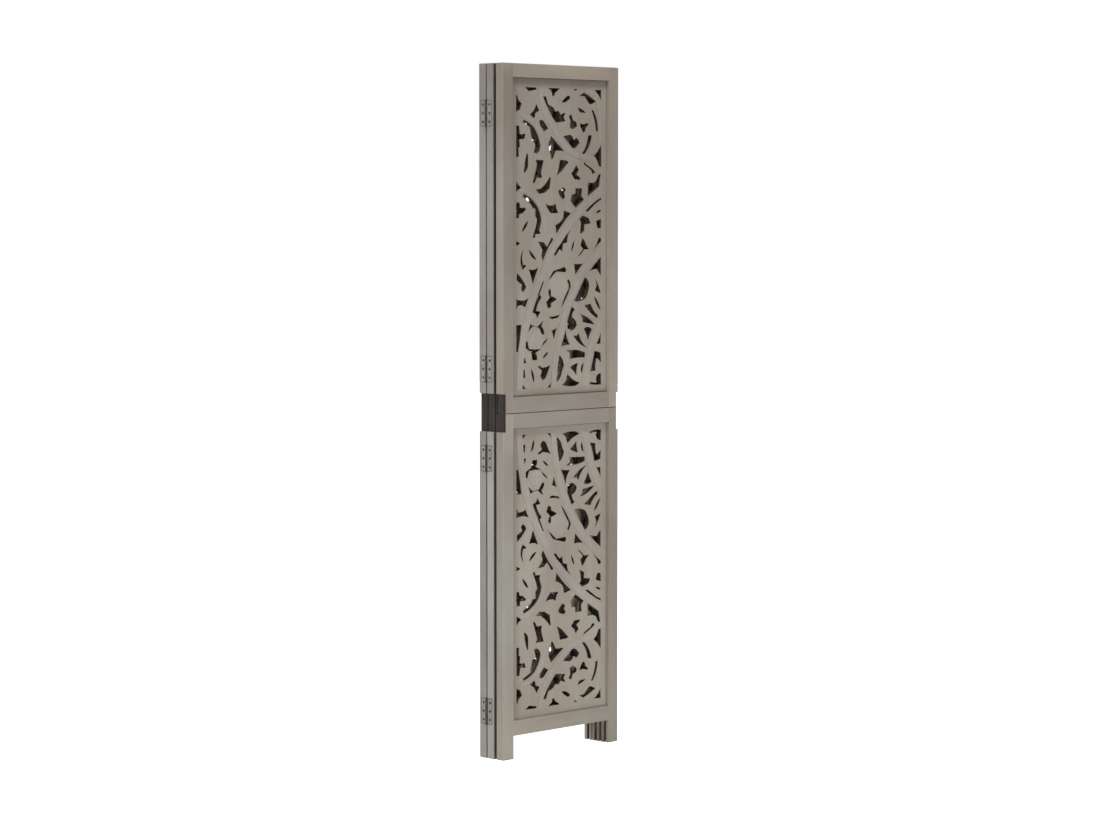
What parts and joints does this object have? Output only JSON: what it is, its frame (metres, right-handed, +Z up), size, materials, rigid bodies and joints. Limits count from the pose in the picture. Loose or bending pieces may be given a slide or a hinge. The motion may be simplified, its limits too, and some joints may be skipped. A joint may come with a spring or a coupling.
{
  "type": "folding screen",
  "caption": "Free-standing folding room divider: hinged wooden panels of carved, pierced fretwork boards in plain frames on short feet, shown folded up.",
  "frame": {"origin": "on the floor, in the middle of the folded stack's base", "axes": "+Z up, +X to the right along the panels, +Y from the front panel to the rear panel"},
  "size_m": [0.4154, 0.0842, 1.7018],
  "materials": {
    "frame_wood": "whitewashed, matte",
    "carved_board": "whitewashed, matte",
    "hinge_leaf": "painted over with the frame, matte",
    "hinge_pin": "dulled",
    "joining_plate": "dark, satin",
    "screw": "dulled"
  },
  "bodies": {
    "front_panel": {"front_left_joining_plate": "joining_plate", "front_lower_bottom_rail": "frame_wood", "front_lower_carving": "carved_board", "front_lower_left_stile": "frame_wood", "front_lower_right_stile": "frame_wood", "front_lower_top_rail": "frame_wood", "front_middle_bottom_leaf_front": "hinge_leaf", "front_middle_lower_mid_leaf_front": "hinge_leaf", "front_middle_pins": "hinge_pin", "front_middle_top_leaf_front": "hinge_leaf", "front_middle_upper_mid_leaf_front": "hinge_leaf", "front_right_joining_plate": "joining_plate", "front_screws": "screw", "front_upper_bottom_rail": "frame_wood", "front_upper_carving": "carved_board", "front_upper_left_stile": "frame_wood", "front_upper_right_stile": "frame_wood", "front_upper_top_rail": "frame_wood"},
    "middle_panel": {"front_middle_bottom_leaf_middle": "hinge_leaf", "front_middle_lower_mid_leaf_middle": "hinge_leaf", "front_middle_top_leaf_middle": "hinge_leaf", "front_middle_upper_mid_leaf_middle": "hinge_leaf", "middle_left_joining_plate": "joining_plate", "middle_lower_bottom_rail": "frame_wood", "middle_lower_carving": "carved_board", "middle_lower_left_stile": "frame_wood", "middle_lower_right_stile": "frame_wood", "middle_lower_top_rail": "frame_wood", "middle_rear_bottom_leaf_middle": "hinge_leaf", "middle_rear_lower_mid_leaf_middle": "hinge_leaf", "middle_rear_pins": "hinge_pin", "middle_rear_top_leaf_middle": "hinge_leaf", "middle_rear_upper_mid_leaf_middle": "hinge_leaf", "middle_right_joining_plate": "joining_plate", "middle_screws": "screw", "middle_upper_bottom_rail": "frame_wood", "middle_upper_carving": "carved_board", "middle_upper_left_stile": "frame_wood", "middle_upper_right_stile": "frame_wood", "middle_upper_top_rail": "frame_wood"},
    "rear_panel": {"middle_rear_bottom_leaf_rear": "hinge_leaf", "middle_rear_lower_mid_leaf_rear": "hinge_leaf", "middle_rear_top_leaf_rear": "hinge_leaf", "middle_rear_upper_mid_leaf_rear": "hinge_leaf", "rear_left_joining_plate": "joining_plate", "rear_lower_bottom_rail": "frame_wood", "rear_lower_carving": "carved_board", "rear_lower_left_stile": "frame_wood", "rear_lower_right_stile": "frame_wood", "rear_lower_top_rail": "frame_wood", "rear_right_joining_plate": "joining_plate", "rear_screws": "screw", "rear_upper_bottom_rail": "frame_wood", "rear_upper_carving": "carved_board", "rear_upper_left_stile": "frame_wood", "rear_upper_right_stile": "frame_wood", "rear_upper_top_rail": "frame_wood"}
  },
  "joints": [
    {"name": "front_middle_hinge", "type": "hinge", "parent": "front_panel", "child": "middle_panel", "pos_m": [0.2047, -0.0132, 0], "axis": [0, 0, -1], "range_deg": [0, 180]},
    {"name": "middle_rear_hinge", "type": "hinge", "parent": "middle_panel", "child": "rear_panel", "pos_m": [-0.2047, 0.0162, 0], "axis": [0, 0, 1], "range_deg": [0, 180]}
  ]
}
